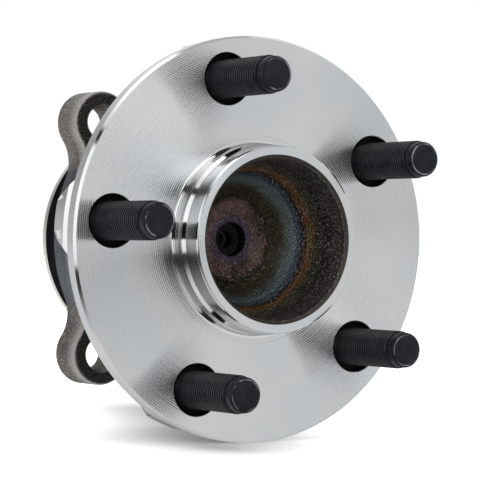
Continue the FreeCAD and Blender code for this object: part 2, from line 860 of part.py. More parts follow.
def make_inboard_seal(doc, d):
    case_end = d.rear_seat + d.seal_case_depth
    flange_back = d.rear_seat + d.sheet
    inside = d.seal_bore_radius - d.sheet
    make_ring_of(
        doc,
        "inboard_seal_case",
        [
            (d.seal_case_inner_radius, d.rear_seat),
            (d.seal_bore_radius, d.rear_seat),
            (d.seal_bore_radius, case_end),
            (inside, case_end),
            (inside, flange_back),
            (d.seal_case_inner_radius, flange_back),
        ],
    )
    sleeve = d.race_shoulder_radius + d.sheet
    flange_front = d.inner_ring_end - d.sheet
    make_ring_of(doc, "inboard_seal_lip", lip_section(d, d.rear_seat, 1, sleeve, flange_front))
    make_ring_of(
        doc,
        "seal_slinger",
        [
            (d.race_shoulder_radius, d.slinger_start),
            (sleeve, d.slinger_start),
            (sleeve, flange_front),
            (d.slinger_radius, flange_front),
            (d.slinger_radius, d.inner_ring_end),
            (d.race_shoulder_radius, d.inner_ring_end),
        ],
    )
    make_ring_of(
        doc,
        "encoder_ring",
        [
            (d.encoder_inner_radius, d.inner_ring_end),
            (d.slinger_radius, d.inner_ring_end),
            (d.slinger_radius, d.encoder_back),
            (d.encoder_inner_radius, d.encoder_back),
        ],
    )


def make_end_cap(doc, d):
    """Pressed steel cap on the inboard end: rim over the spigot, skirt in its bore, raised middle."""
    sheet = d.cap_sheet
    floor = d.cap_floor
    rim_top = d.ring_end + d.cap_rim_height
    dome_top = d.cap_dome_top
    corner = d.cap_dome_corner
    inner_corner = corner - sheet
    dome_inside = d.cap_dome_radius - sheet
    make_ring_of(
        doc,
        "end_cap",
        [
            (0, dome_top - sheet),
            (dome_inside - inner_corner, dome_top - sheet),
            Bend(inner_corner, left=False),
            (dome_inside, dome_top - sheet - inner_corner),
            (dome_inside, floor),
            (d.seal_bore_radius, floor),
            (d.seal_bore_radius, d.ring_end),
            (d.cap_rim_radius, d.ring_end),
            (d.cap_rim_radius, rim_top),
            (d.cap_rim_radius - sheet, rim_top),
            (d.cap_rim_radius - sheet, d.ring_end + sheet),
            (d.seal_bore_radius - sheet, d.ring_end + sheet),
            (d.seal_bore_radius - sheet, floor + sheet),
            (d.cap_dome_radius, floor + sheet),
            (d.cap_dome_radius, dome_top - corner),
            Bend(corner, left=True),
            (d.cap_dome_radius - corner, dome_top),
            (0, dome_top),
        ],
    )


# Assembly


def build(doc):
    d = write_sheet(doc)
    add_fitted_sizes(d)
    make_outer_ring(doc, d)
    make_outboard_seal(doc, d)
    make_inboard_seal(doc, d)
    make_end_cap(doc, d)
    make_hub(doc, d)
    for number in range(SIZES["stud_count"]):
        make_stud(doc, d, number)
    make_inner_ring(doc, d)
    make_cage(doc, d, "outboard_cage", d.outboard_row, -1)
    make_cage(doc, d, "inboard_cage", d.inboard_row, 1)
    for number in range(SIZES["ball_count"]):
        make_ball(doc, d, f"outboard_ball_{number + 1:02d}", d.outboard_row, number)
        make_ball(doc, d, f"inboard_ball_{number + 1:02d}", d.inboard_row, number)
    doc.recompute()


def pieces(doc):
    """The separate pieces of the bearing: each body, and each ball."""
    return [o for o in doc.Objects if o.TypeId in ("PartDesign::Body", "Part::Sphere")]


def check(doc):
    """Stops if any feature failed or any piece isn't one valid solid."""
    failed = [o.Name for o in doc.Objects if {"Invalid", "Error"} & set(o.State)]
    if failed:
        raise RuntimeError(f"features failed: {failed}")
    for piece in pieces(doc):
        shape = piece.Shape
        if shape.isNull() or not shape.isValid() or len(shape.Solids) != 1:
            raise RuntimeError(f"{piece.Label} isn't one valid solid")


def write(doc):
    os.makedirs("parts", exist_ok=True)
    for piece in pieces(doc):
        piece.Shape.exportStep(os.path.join("parts", piece.Label + ".step"))
        box = piece.Shape.BoundBox
        print(f"{piece.Label}: volume {piece.Shape.Volume:.1f}, y {box.YMin:.2f} to {box.YMax:.2f}")


document = FreeCAD.newDocument("wheel_hub_bearing")
build(document)
check(document)
write(document)
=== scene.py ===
import math

import bmesh
import bpy
from mathutils import Matrix, Vector


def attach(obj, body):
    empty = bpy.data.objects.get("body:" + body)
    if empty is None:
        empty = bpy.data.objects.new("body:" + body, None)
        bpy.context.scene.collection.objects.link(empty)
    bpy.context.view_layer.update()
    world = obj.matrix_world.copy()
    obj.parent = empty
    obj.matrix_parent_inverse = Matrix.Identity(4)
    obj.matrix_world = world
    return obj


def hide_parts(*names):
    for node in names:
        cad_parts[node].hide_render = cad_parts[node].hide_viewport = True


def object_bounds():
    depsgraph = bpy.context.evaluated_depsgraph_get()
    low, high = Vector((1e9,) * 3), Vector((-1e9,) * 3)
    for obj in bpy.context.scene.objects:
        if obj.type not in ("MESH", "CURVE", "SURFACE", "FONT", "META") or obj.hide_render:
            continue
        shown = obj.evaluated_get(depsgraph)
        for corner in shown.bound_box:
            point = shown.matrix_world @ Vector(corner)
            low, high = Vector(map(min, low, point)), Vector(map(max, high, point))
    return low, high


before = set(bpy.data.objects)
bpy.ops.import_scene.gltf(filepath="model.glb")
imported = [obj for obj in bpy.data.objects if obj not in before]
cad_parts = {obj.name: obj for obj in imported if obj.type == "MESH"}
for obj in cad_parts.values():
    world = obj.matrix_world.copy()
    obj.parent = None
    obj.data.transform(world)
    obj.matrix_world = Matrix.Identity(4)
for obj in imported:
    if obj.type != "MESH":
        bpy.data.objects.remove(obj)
cad_low, cad_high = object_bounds()

# The photographer's table: a white sweep in a bright tent, seen along the table from the wheel's side and
# about thirty degrees to the left. The camera stands where it was fitted to the flange, studs and ears.
MM = 0.001
EYE = Vector((-466.937, -751.531, -0.295)) * MM
LOOK_RIGHT = Vector((0.852730, -0.522291, 0.007922))
LOOK_UP = Vector((-0.006782, 0.004095, 0.999969))
LOOK_BACK = Vector((-0.522307, -0.852757, -0.000050))

camera = bpy.data.objects.new("camera", bpy.data.cameras.new("camera"))
camera.data.sensor_width = 36.0
camera.data.lens = 180.16
camera.data.clip_end = 50.0
camera_turn = Matrix((LOOK_RIGHT, LOOK_UP, LOOK_BACK)).transposed().to_4x4()
camera.matrix_world = Matrix.Translation(EYE) @ camera_turn
bpy.context.scene.collection.objects.link(camera)
bpy.context.scene.camera = camera
bpy.context.scene.view_settings.view_transform = "Standard"


def material(name, **plain):
    """A new material with its Principled shader. The plain values go straight on the shader's sockets."""
    made = bpy.data.materials.new(name)
    made.use_nodes = True
    shader = made.node_tree.nodes["Principled BSDF"]
    for socket, value in plain.items():
        shader.inputs[socket.replace("_", " ")].default_value = value
    return made, made.node_tree, shader


def add(tree, kind, settings=None, **feeds):
    """A new node. Its feeds are values or other nodes' outputs, named by input or, as i0, by number."""
    made = tree.nodes.new(kind)
    for name, value in (settings or {}).items():
        setattr(made, name, value)
    for name, value in feeds.items():
        numbered = name[0] == "i" and name[1:].isdigit()
        socket = made.inputs[int(name[1:]) if numbered else name.replace("_", " ")]
        if isinstance(value, bpy.types.NodeSocket):
            tree.links.new(value, socket)
        else:
            socket.default_value = value
    return made


def blend(tree, share, first, second):
    """The mix of two colours, or of one and another node's colour, by a share from 0 to 1."""
    return add(tree, "ShaderNodeMix", {"data_type": "RGBA"}, i0=share, i6=first, i7=second).outputs["Result"]


def grade(tree, value, low, high, at_low=0.0, at_high=1.0, ease="LINEAR"):
    """The value's way from low to high, from at_low to at_high and no further."""
    return add(
        tree, "ShaderNodeMapRange", {"interpolation_type": ease},
        i0=value, i1=low, i2=high, i3=at_low, i4=at_high,
    ).outputs["Result"]


def figure(tree, operation, *values):
    """The result of a math node."""
    feeds = {f"i{number}": value for number, value in enumerate(values)}
    return add(tree, "ShaderNodeMath", {"operation": operation}, **feeds).outputs["Value"]


def along(tree, direction, axis):
    """How far a direction or a place lies along an axis."""
    return add(
        tree, "ShaderNodeVectorMath", {"operation": "DOT_PRODUCT"}, i0=direction, i1=axis,
    ).outputs["Value"]


def length(tree, vector):
    """The length of a vector."""
    return add(tree, "ShaderNodeVectorMath", {"operation": "LENGTH"}, i0=vector).outputs["Value"]


def mesh_piece(name, shape, materials, body, sharp=30.0):
    """Makes a finished bmesh a piece that rides on a body, smooth except at edges over the angle."""
    mesh = bpy.data.meshes.new(name)
    shape.to_mesh(mesh)
    shape.free()
    for one in materials:
        mesh.materials.append(one)
    mesh.shade_smooth()
    mesh.set_sharp_from_angle(angle=math.radians(sharp))
    piece = bpy.data.objects.new(name, mesh)
    bpy.context.scene.collection.objects.link(piece)
    if body:
        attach(piece, body)
    return piece


# The floor carries a painted shadow: its colour darkens in a soft streak that runs back and to the left from
# under the hub, and its glow, which whitens the rest of the floor, fades out along that streak.
SHADE_WIDTH = 0.050
SHADE_LENGTH = 0.110
SHADE_OFFSET = 0.0124
SHADE_FADE = (-0.90, -1.40)
SHADE_ASIDE = (0.933 / SHADE_WIDTH, -0.359 / SHADE_WIDTH, 0.0)
SHADE_FORWARD = (-0.359 / SHADE_LENGTH, -0.933 / SHADE_LENGTH, 0.0)
sweep_white, tree, shader = material("sweep_white", Roughness=0.9, Emission_Strength=1.0)
grain = add(tree, "ShaderNodeTexNoise", Scale=300.0, Detail=3.0)
tone = grade(tree, grain.outputs["Fac"], 0.0, 1.0, 0.88, 0.90)
place = add(tree, "ShaderNodeTexCoord").outputs["Object"]
beside = figure(tree, "ADD", along(tree, place, SHADE_ASIDE), SHADE_OFFSET / SHADE_WIDTH)
nearer = along(tree, place, SHADE_FORWARD)
in_front = figure(tree, "MAXIMUM", nearer, 0.0)
beyond = figure(tree, "MULTIPLY_ADD", nearer, *SHADE_FADE)
spot = add(tree, "ShaderNodeCombineXYZ", X=beside, Y=figure(tree, "MAXIMUM", in_front, beyond))
away = length(tree, spot.outputs["Vector"])
# Glow that whitens the floor, low along the painted shadow.
glow_beside_shadow = grade(tree, away, 0.0, 1.0, 0.0, 0.62, "SMOOTHSTEP")
far_shade = grade(tree, nearer, -0.20, -1.40, 1.0, 0.58, "SMOOTHSTEP")
shaded = figure(tree, "MULTIPLY", tone, grade(tree, away, 0.0, 0.70, far_shade, 1.0))
tree.links.new(shaded, shader.inputs["Base Color"])
tree.links.new(glow_beside_shadow, shader.inputs["Emission Color"])
sweep = bmesh.new()
bmesh.ops.create_grid(sweep, x_segments=8, y_segments=8, size=9.0)
bmesh.ops.translate(sweep, vec=(0.0, 0.0, cad_low.z), verts=sweep.verts)
table = mesh_piece("table_sweep", sweep, [sweep_white], None)
table.visible_glossy = False

sky = bpy.data.worlds.new("white_tent")
bpy.context.scene.world = sky
sky.use_nodes = True
tree = sky.node_tree
gaze = add(tree, "ShaderNodeTexCoord").outputs["Generated"]


def ramp(tree, share, stops):
    """The colour at a share from 0 to 1, between (share, colour) stops."""
    made = add(tree, "ShaderNodeValToRGB", i0=share)
    for stop, colour in stops:
        made.color_ramp.elements.new(stop).color = (*colour, 1.0)
    made.color_ramp.elements.remove(made.color_ramp.elements[0])
    made.color_ramp.elements.remove(made.color_ramp.elements[-1])
    return made.outputs["Color"]


def cloths(turn, stops):
    """The tent's glow at a turn about its length: (degrees from the right going up, glow) pairs."""
    share = grade(tree, turn, -math.pi, math.pi)
    return ramp(tree, share, [(degrees / 360.0 + 0.5, (glow, glow, glow)) for degrees, glow in stops])


TENT_BEARING = math.radians(13.0)
tent_ahead = (math.sin(TENT_BEARING), -math.cos(TENT_BEARING), 0.0)
tent_right = (math.cos(TENT_BEARING), math.sin(TENT_BEARING), 0.0)
turn = figure(
    tree, "ARCTAN2", along(tree, gaze, (0.0, 0.0, 1.0)), along(tree, gaze, tent_right),
)
before = cloths(turn, [
    (-179, 1.30), (179, 1.30), (-169, 1.10), (-166, 0.04), (-157, 0.08), (-145, 0.60), (-130, 0.90),
    (-80, 0.70), (0, 0.82), (49, 1.00), (54, 0.55), (82, 0.60), (87, 1.90), (108, 1.90), (124, 1.00),
    (130, 0.95), (131.5, 0.04), (137.5, 0.04), (139, 1.25), (160, 1.45),
])
behind = cloths(turn, [
    (-179, 0.68), (179, 0.68), (-160, 0.95), (-142, 1.05), (-72, 1.05), (-50, 0.45), (-20, 0.18),
    (10, 0.60), (35, 1.15), (60, 1.05), (80, 0.75), (100, 0.40), (125, 0.33), (150, 0.50),
])
facing = cloths(turn, [
    (-179, 0.70), (179, 0.70), (-171, 0.35), (-166, 0.12), (-162, 0.04), (-155, 0.06), (-148, 0.15),
    (-133, 0.37), (-120, 0.50), (-100, 0.66), (-80, 0.90), (-50, 0.98), (-20, 0.90), (0, 0.85), (30, 0.88),
    (49, 0.98), (56, 0.75), (80, 0.75), (86, 1.90), (108, 1.90), (118, 1.40), (123.5, 0.75), (127, 0.05),
    (139.5, 0.05), (142, 0.80), (152, 1.00), (165, 1.20), (172, 1.00),
])
fore = along(tree, gaze, tent_ahead)
front_half = blend(tree, grade(tree, fore, 0.40, 0.65), before, facing)
tent = blend(tree, grade(tree, fore, -0.30, -0.60), front_half, behind)
ray = add(tree, "ShaderNodeLightPath")
shown = blend(tree, ray.outputs["Is Camera Ray"], tent, (1.0, 1.0, 1.0, 1.0))
tree.links.new(shown, tree.nodes["Background"].inputs["Color"])


# Outer ring: the part that stays still, one steel forging with four screw ears. Its body and ears keep the
# shot-blasted skin of the forging, with light specks painted as glints, and the races and seal bores are
# ground. The ears' front faces are painted dark as shade, their rounded edges carry a painted highlight,
# the plate's turned rim has a slate tint that is partly its finish and partly a painted reflection, and
# the turned spigot is painted near-black as shade.
def effect(name, inputs, outputs):
    """An empty shader node group with named values going in and coming out."""
    made = bpy.data.node_groups.new(name, "ShaderNodeTree")
    for label, value in inputs.items():
        socket = made.interface.new_socket(label, in_out="INPUT", socket_type="NodeSocketFloat")
        socket.default_value = value
    for label in outputs:
        made.interface.new_socket(label, in_out="OUTPUT", socket_type="NodeSocketFloat")
    return made, made.nodes.new("NodeGroupInput"), made.nodes.new("NodeGroupOutput")


def use_effect(tree, group, **feeds):
    """The group's node placed in a material, with its own values."""
    return add(tree, "ShaderNodeGroup", {"node_tree": group}, **feeds)


forged_skin, given, result = effect(
    "forged_skin", {"Grain": 1500.0, "Blotch": 90.0}, ("Height", "Speck", "Patch"),
)
place = add(forged_skin, "ShaderNodeTexCoord").outputs["Object"]
pits = add(
    forged_skin, "ShaderNodeTexVoronoi", {"feature": "SMOOTH_F1"},
    Vector=place, Scale=given.outputs["Grain"], Smoothness=0.6,
)
crumbs = add(
    forged_skin, "ShaderNodeTexNoise",
    Vector=place, Scale=given.outputs["Grain"], Detail=4.0, Roughness=0.7,
).outputs["Fac"]
cloud = add(
    forged_skin, "ShaderNodeTexNoise",
    Vector=place, Scale=given.outputs["Blotch"], Detail=5.0, Roughness=0.6,
)
height = figure(forged_skin, "MULTIPLY_ADD", crumbs, 0.8, pits.outputs["Distance"])
forged_skin.links.new(height, result.inputs["Height"])
forged_skin.links.new(grade(forged_skin, crumbs, 0.54, 0.62), result.inputs["Speck"])
forged_skin.links.new(grade(forged_skin, cloud.outputs["Fac"], 0.35, 0.65), result.inputs["Patch"])

turned_lines, given, result = effect(
    "turned_lines", {"Pitch": 0.0004}, ("Height", "Shade", "Radius", "Reach"),
)
place = add(turned_lines, "ShaderNodeTexCoord").outputs["Object"]
apart = add(turned_lines, "ShaderNodeSeparateXYZ", Vector=place).outputs
around = add(turned_lines, "ShaderNodeCombineXYZ", X=apart["X"], Z=apart["Z"])
radius = length(turned_lines, around.outputs["Vector"])
feed = figure(turned_lines, "ADD", radius, apart["Y"])
cut = figure(turned_lines, "DIVIDE", feed, given.outputs["Pitch"])
ridge = figure(turned_lines, "COSINE", figure(turned_lines, "MULTIPLY", cut, math.tau))
wander = add(
    turned_lines, "ShaderNodeTexNoise", {"noise_dimensions": "1D"},
    W=cut, Scale=0.35, Detail=2.0, Roughness=0.5,
)
tint = add(
    turned_lines, "ShaderNodeTexNoise", Vector=place, Scale=28.0, Detail=2.0, Roughness=0.4,
)
height = figure(turned_lines, "MULTIPLY_ADD", ridge, 0.25, wander.outputs["Fac"])
turned_lines.links.new(height, result.inputs["Height"])
turned_lines.links.new(tint.outputs["Fac"], result.inputs["Shade"])
turned_lines.links.new(radius, result.inputs["Radius"])
turned_lines.links.new(apart["Y"], result.inputs["Reach"])

GROUND_BORE = (0.0427, 0.0429)
EARS_START = (0.0562, 0.0570)
PLATE_FACE = (0.0381, 0.0386)
FACE_SPECKS = (0.0380, 0.0390)
EAR_EDGE_HIGHLIGHT = (0.0395, 0.0450)
SPIGOT_START = (0.0538, 0.0541)
forged_steel, tree, shader = material("forged_steel", Specular_IOR_Level=0.0)
skin = use_effect(tree, forged_skin, Grain=1500.0, Blotch=70.0).outputs
lines = use_effect(tree, turned_lines, Pitch=0.0006).outputs
brown = blend(tree, skin["Patch"], (0.090, 0.080, 0.071, 1.0), (0.170, 0.158, 0.145, 1.0))
# A slate tint for the plate's turned rim between the ears, partly its turned finish and partly a painted
# reflection.
slate = blend(tree, skin["Patch"], (0.060, 0.070, 0.082, 1.0), (0.105, 0.117, 0.132, 1.0))
# Near-black painted shade for the spigot's side behind the plate.
black = blend(tree, skin["Patch"], (0.005, 0.005, 0.006, 1.0), (0.011, 0.011, 0.012, 1.0))
side = blend(tree, grade(tree, lines["Radius"], *EARS_START), slate, brown)
# A light band painted as a highlight along the ears' rounded front edges.
edge = blend(tree, grade(tree, lines["Reach"], *EAR_EDGE_HIGHLIGHT), (0.40, 0.385, 0.37, 1.0), side)
# The outer ring forward of the plate's face, the ears' front faces with it, is painted dark as shade.
front_painted_shade = blend(tree, grade(tree, lines["Reach"], *PLATE_FACE), (0.040, 0.038, 0.034, 1.0), edge)
# The light specks are painted glints, fewer on the front faces and on the slate rim.
specks = figure(tree, "MULTIPLY", skin["Speck"], grade(tree, lines["Reach"], *FACE_SPECKS, 0.20, 0.75))
glints = figure(tree, "MULTIPLY", specks, grade(tree, lines["Radius"], *EARS_START, 0.15, 1.0))
lit = blend(tree, glints, front_painted_shade, (0.50, 0.48, 0.45, 1.0))
# The spigot behind the plate takes the near-black painted shade.
with_spigot_shade = blend(tree, grade(tree, lines["Reach"], *SPIGOT_START), lit, black)
ground = blend(tree, grade(tree, lines["Radius"], *GROUND_BORE), (0.60, 0.60, 0.61, 1.0), with_spigot_shade)
relief = figure(tree, "MULTIPLY", skin["Height"], grade(tree, lines["Radius"], *EARS_START, 0.25, 1.0))
dents = add(tree, "ShaderNodeBump", Height=relief, Strength=1.0, Distance=0.0003)
tree.links.new(ground, shader.inputs["Base Color"])
tree.links.new(grade(tree, lines["Reach"], *SPIGOT_START, 0.9, 0.0), shader.inputs["Metallic"])
tree.links.new(grade(tree, skin["Speck"], 0.0, 1.0, 0.50, 0.28), shader.inputs["Roughness"])
tree.links.new(dents.outputs["Normal"], shader.inputs["Normal"])


def dress(node, finish):
    """Gives a CAD node that keeps its own shape its finish."""
    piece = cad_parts[node]
    piece.data.materials.clear()
    piece.data.materials.append(finish)


dress("outer_ring", forged_steel)

# Hub: a steel forging with the pilots, flange and spindle in one. The flange, rim and pilots are turned,
# the bowl in the pilot keeps its forged skin with the heat tints of hardening, a dark band painted as
# shade at its crease and its blue band lightened as a painted highlight, the bore and the stud holes are
# painted near-black as shade, and five lobes carry studs.
ROUND = 256
STUD_ANGLES = [math.radians(102.0 - 72.0 * n) for n in range(5)]
STUD_CIRCLE = 60.0


def spun(section, corners=(), steps=ROUND, at=(0.0, 0.0)):
    """Spins a closed section of (radius, distance) points in millimetres about Y or a line beside it.

    Corners gives (number, size, segments) for each point that is rounded first."""
    shape = bmesh.new()
    points = [shape.verts.new((r * MM, y * MM, 0.0)) for r, y in section]
    for one, following in zip(points, points[1:] + points[:1]):
        shape.edges.new((one, following))
    for number, size, segments in corners:
        bmesh.ops.bevel(
            shape, geom=[points[number]], offset=size * MM, offset_type="OFFSET", segments=segments,
            profile=0.5, affect="VERTICES", material=-1,
        )
    bmesh.ops.spin(
        shape, geom=shape.verts[:] + shape.edges[:], cent=(0.0, 0.0, 0.0), axis=(0.0, 1.0, 0.0),
        angle=math.tau, steps=steps, use_merge=True,
    )
    bmesh.ops.remove_doubles(shape, verts=shape.verts, dist=1e-7)
    bmesh.ops.recalc_face_normals(shape, faces=shape.faces)
    bmesh.ops.translate(shape, vec=(at[0] * MM, 0.0, at[1] * MM), verts=shape.verts)
    return shape


def joined(shapes):
    """One bmesh that holds all the given ones."""
    whole = bmesh.new()
    for shape in shapes:
        held = bpy.data.meshes.new("held")
        shape.to_mesh(held)
        shape.free()
        whole.from_mesh(held)
        bpy.data.meshes.remove(held)
    return whole


def carved(base, tool, operation):
    """The base shape after a Boolean modifier with the tool shape: UNION, DIFFERENCE or INTERSECT."""
    both = [mesh_piece(name, shape, [], None) for name, shape in (("blank", base), ("tool", tool))]
    cut = both[0].modifiers.new("cut", "BOOLEAN")
    cut.object = both[1]
    cut.operation = operation
    cut.solver = "EXACT"
    ready = both[0].evaluated_get(bpy.context.evaluated_depsgraph_get())
    shape = bmesh.new()
    shape.from_mesh(ready.to_mesh())
    for one in both:
        bpy.data.objects.remove(one)
    return shape


def at_studs(section, corners=(), steps=64):
    """The spun section, once on each stud's line."""
    return joined([
        spun(section, corners, steps, (STUD_CIRCLE * math.cos(a), STUD_CIRCLE * math.sin(a)))
        for a in STUD_ANGLES
    ])


hub_section = [
    (0.0, 28.5), (3.2, 26.6), (3.2, 22.1), (6.5, 22.1), (6.5, 17.6), (14.4, 17.6),
    (26.9, 11.0), (28.2, -3.0), (29.6, -14.4), (30.9, -15.7),
    (34.2, -15.7), (34.2, -7.8), (35.1, -6.4), (35.1, 0.0), (37.1, 0.0), (37.1, 0.2), (38.3, 0.2),
    (38.3, 0.0),
    (74.22, 0.0), (74.97, 1.2), (74.97, 5.6), (74.37, 6.2),
    (40.0, 6.2), (40.0, 19.5), (39.0, 20.5), (28.9, 20.5),
    (22.99, 34.90), (25.65, 40.85), (25.65, 48.0), (20.0, 48.0), (20.0, 80.4), (25.4, 80.4), (25.4, 84.8),
    (12.5, 84.8), (12.5, 66.8), (0.0, 63.05),
]
hub_corners = [
    (6, 13.9, 16), (10, 0.8, 4), (13, 1.2, 5), (22, 6.0, 8), (25, 3.5, 5), (26, 5.9, 10), (32, 4.35, 6),
]
lobes = carved(
    at_studs([(0.0, 5.0), (24.0, 5.0), (24.0, 6.18), (19.0, 6.18), (14.9, 17.5), (0.0, 17.5)],
             [(3, 1.6, 5), (4, 0.5, 2)], 96),
    spun([(0.0, 4.0), (72.6, 4.0), (72.6, 9.2), (74.1, 10.7), (74.1, 19.0), (0.0, 19.0)]),
    "INTERSECT",
)
stud_holes = at_studs(
    [(0.0, -1.0), (9.85, -1.0), (9.85, -0.01), (9.55, 0.3), (9.55, 3.5), (7.5, 3.5), (7.5, 19.0),
     (0.0, 19.0)]
)
hub = carved(carved(spun(hub_section, hub_corners), lobes, "UNION"), stud_holes, "DIFFERENCE")

turned_steel, tree, shader = material(
    "turned_steel", Metallic=1.0, Anisotropic=0.98, Anisotropic_Rotation=0.25,
)
lines = use_effect(tree, turned_lines, Pitch=0.0008).outputs
share = grade(tree, lines["Shade"], 0.35, 0.65)
steel = blend(tree, share, (0.575, 0.605, 0.625, 1.0), (0.64, 0.64, 0.635, 1.0))
cuts = add(tree, "ShaderNodeBump", Height=lines["Height"], Strength=1.0, Distance=0.00005)
grain = add(tree, "ShaderNodeTangent", {"direction_type": "RADIAL", "axis": "Y"})
tree.links.new(steel, shader.inputs["Base Color"])
tree.links.new(grade(tree, lines["Radius"], 0.040, 0.047, 0.18, 0.24), shader.inputs["Roughness"])
tree.links.new(cuts.outputs["Normal"], shader.inputs["Normal"])
tree.links.new(grain.outputs["Tangent"], shader.inputs["Tangent"])

tinted_bowl, tree, shader = material("tinted_bowl", Metallic=0.8)
skin = use_effect(tree, forged_skin, Grain=1500.0, Blotch=120.0).outputs
lines = use_effect(tree, turned_lines, Pitch=0.0007).outputs
uneven = figure(tree, "MULTIPLY_ADD", skin["Patch"], 0.0016, lines["Reach"])
ragged = figure(tree, "MULTIPLY_ADD", skin["Speck"], 0.0012, uneven)
# The ramp holds the heat tints of hardening; its dark stop at 0.37 is painted shade in the crease where the
# wall bends, and its light blue-grey stops at 0.73 and 0.78 are a blue temper tint lightened as a painted
# highlight.
heat_tints_and_painted_light = ramp(tree, grade(tree, ragged, -0.0157, 0.0195), [
    (0.01, (0.055, 0.049, 0.043)), (0.30, (0.045, 0.040, 0.035)), (0.37, (0.016, 0.014, 0.012)),
    (0.41, (0.060, 0.053, 0.045)), (0.50, (0.060, 0.058, 0.034)), (0.56, (0.130, 0.078, 0.026)),
    (0.61, (0.210, 0.085, 0.018)), (0.65, (0.045, 0.014, 0.010)), (0.68, (0.040, 0.060, 0.085)),
    (0.73, (0.130, 0.175, 0.215)), (0.78, (0.160, 0.195, 0.200)), (0.84, (0.050, 0.055, 0.046)),
    (0.87, (0.045, 0.032, 0.013)), (0.945, (0.016, 0.012, 0.008)), (0.97, (0.090, 0.050, 0.045)),
    (0.985, (0.150, 0.092, 0.085)),
])
by_bore = grade(tree, lines["Radius"], 0.0070, 0.0105)
# The bowl's tints with the ramp's painted shade and highlight, beside a purple tint near the bore.
tinted = blend(tree, by_bore, (0.050, 0.036, 0.070, 1.0), heat_tints_and_painted_light)
specks = figure(tree, "MULTIPLY", skin["Speck"], grade(tree, lines["Reach"], 0.0030, 0.0120, 1.0, 0.20))
inside = figure(tree, "MULTIPLY", specks, grade(tree, lines["Reach"], -0.0150, -0.0130, 0.1, 1.0))
relief = figure(tree, "MULTIPLY_ADD", lines["Height"], 0.6, skin["Height"])
dents = add(tree, "ShaderNodeBump", Height=relief, Strength=1.0, Distance=0.00025)
dull = grade(tree, lines["Reach"], 0.0060, 0.0100, 0.50, 0.30)
tree.links.new(blend(tree, inside, tinted, (0.56, 0.53, 0.49, 1.0)), shader.inputs["Base Color"])
tree.links.new(grade(tree, skin["Speck"], 0.0, 1.0, dull, 0.26), shader.inputs["Roughness"])
tree.links.new(dents.outputs["Normal"], shader.inputs["Normal"])

polished_pilot, tree, shader = material("polished_pilot", Metallic=1.0)
lines = use_effect(tree, turned_lines, Pitch=0.0003).outputs
steel = blend(tree, lines["Shade"], (0.64, 0.65, 0.66, 1.0), (0.70, 0.69, 0.68, 1.0))
tree.links.new(steel, shader.inputs["Base Color"])
tree.links.new(grade(tree, lines["Shade"], 0.3, 0.7, 0.07, 0.11), shader.inputs["Roughness"])

# The spindle's bore and the stud holes are painted near-black as shade; the bore's thin lighter rings follow
# the turning pitch.
bore_painted_shade, tree, shader = material("bore_painted_shade", Metallic=0.3, Specular_IOR_Level=0.1)
lines = use_effect(tree, turned_lines, Pitch=0.0009).outputs
in_bore = grade(tree, lines["Radius"], 0.0066, 0.0070, 1.0, 0.0)
scored = figure(tree, "MULTIPLY", grade(tree, lines["Height"], 0.62, 0.74), in_bore)
dark = blend(tree, scored, (0.003, 0.003, 0.003, 1.0), (0.055, 0.055, 0.058, 1.0))
tree.links.new(dark, shader.inputs["Base Color"])
tree.links.new(grade(tree, lines["Shade"], 0.3, 0.7, 0.5, 0.65), shader.inputs["Roughness"])

TURNED, TINTED, POLISHED, DARK = range(4)
BORE_RADIUS = 0.0067
BORE_MOUTH = 0.0178
BORE_END = 0.030
MOUTH_RADIUS = 0.0309
PILOT_FOOT_RADIUS = 0.0372
PILOT_FACE_RADIUS = 0.0340
PILOT_FACE = -0.0155
RIM_CHAMFER_RADIUS = 0.0742
RIM_CHAMFER_END = 0.0013
LOBE_SIDE_RADIUS = 0.0724
LOBE_SIDE = (0.0064, 0.0195)
STUD_HOLE_RADIUS = 0.0096
STUD_HOLE_START = 0.0004
for face in hub.faces:
    middle = face.calc_center_median()
    out = math.hypot(middle.x, middle.z)
    beside = min(
        math.hypot(middle.x - STUD_CIRCLE * MM * math.cos(a), middle.z - STUD_CIRCLE * MM * math.sin(a))
        for a in STUD_ANGLES
    )
    on_pilot = MOUTH_RADIUS < out < PILOT_FOOT_RADIUS and middle.y < 0.0
    on_chamfer = out > RIM_CHAMFER_RADIUS and middle.y < RIM_CHAMFER_END
    on_lobe = out > LOBE_SIDE_RADIUS and LOBE_SIDE[0] < middle.y < LOBE_SIDE[1]
    # The spindle's bore takes the near-black painted shade.
    if out < BORE_RADIUS and BORE_MOUTH < middle.y < BORE_END:
        face.material_index = DARK
    elif out < MOUTH_RADIUS and middle.y < BORE_END:
        face.material_index = TINTED
    elif MOUTH_RADIUS < out < PILOT_FACE_RADIUS and middle.y < PILOT_FACE:
        face.material_index = TURNED
    elif on_pilot or on_chamfer or (on_lobe and abs(face.normal.y) < 0.9):
        face.material_index = POLISHED
    # The stud holes take the same near-black painted shade.
    elif beside < STUD_HOLE_RADIUS and middle.y > STUD_HOLE_START:
        face.material_index = DARK
hub_finishes = [turned_steel, tinted_bowl, polished_pilot, bore_painted_shade]
hub_piece = mesh_piece("hub_forging", hub, hub_finishes, "hub_set")
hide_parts("hub_flange")

# Wheel studs: five cold-headed steel studs pressed through the lobes from behind, each with a rolled M14
# thread of 1.5 mm pitch and a plain lead, under a matt black coating that is worn at the end's edge.
PITCH = 1.5
black_stud, tree, shader = material("black_stud", Specular_IOR_Level=0.12, Coat_Roughness=0.2)
skin = use_effect(tree, forged_skin, Grain=4000.0, Blotch=220.0).outputs
dents = add(tree, "ShaderNodeBump", Height=skin["Height"], Strength=0.12, Distance=0.00005)
tree.links.new(grade(tree, skin["Patch"], 0.0, 1.0, 0.05, 0.18), shader.inputs["Coat Weight"])
tree.links.new(dents.outputs["Normal"], shader.inputs["Normal"])


